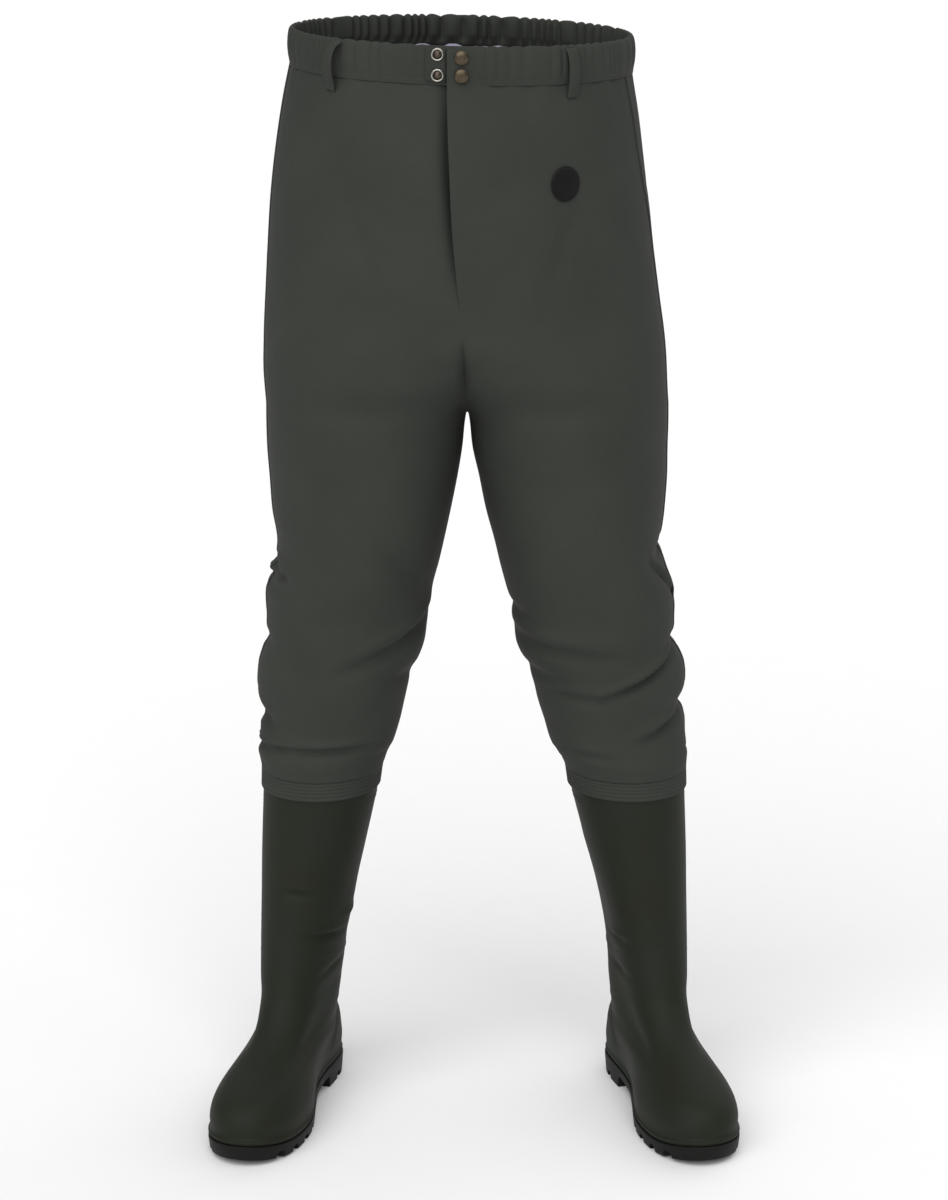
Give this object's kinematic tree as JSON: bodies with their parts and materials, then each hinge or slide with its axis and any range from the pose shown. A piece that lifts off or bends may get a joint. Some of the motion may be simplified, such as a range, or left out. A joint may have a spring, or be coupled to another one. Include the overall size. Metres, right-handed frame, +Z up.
{
  "type": "waist wader",
  "caption": "Waist-high fishing wader: coated-cloth trousers with a gathered waistband and fly, joined by ribbed cuffs to lugged moulded boots, standing as if worn.",
  "frame": {"origin": "middle of the bounding box at floor level, between the two boots", "axes": "+Z up, the front faces -Y, +X is the wearer's left"},
  "size_m": [0.5712, 0.382, 1.181],
  "materials": {
    "coated_cloth": "matt coated weave",
    "gathered_cloth": "matt coated weave, gathered over elastic",
    "moulded_pvc": "satin, injection moulded",
    "black_rubber": "matt, moulded",
    "insole_foam": "matt, die cut",
    "pressed_steel": "nickel-plated, pressed",
    "aged_brass": "dull, pressed",
    "badge_patch": "plain moulded patch"
  },
  "bodies": {
    "root": {"trouser_shell": "coated_cloth", "side_seam_left": "coated_cloth", "side_seam_right": "coated_cloth", "waistband": "gathered_cloth", "fly_flap": "coated_cloth", "belt_loop_front_left": "coated_cloth", "belt_loop_front_right": "coated_cloth", "belt_loop_back": "coated_cloth", "leg_cuff_left": "coated_cloth", "leg_cuff_right": "coated_cloth", "boot_upper_left": "moulded_pvc", "boot_upper_right": "moulded_pvc", "outsole_left": "black_rubber", "outsole_right": "black_rubber", "insole_left": "insole_foam", "insole_right": "insole_foam", "snap_stud_upper": "pressed_steel", "snap_stud_lower": "pressed_steel", "snap_cap_upper": "aged_brass", "snap_cap_lower": "aged_brass", "badge": "badge_patch"}
  },
  "joints": []
}
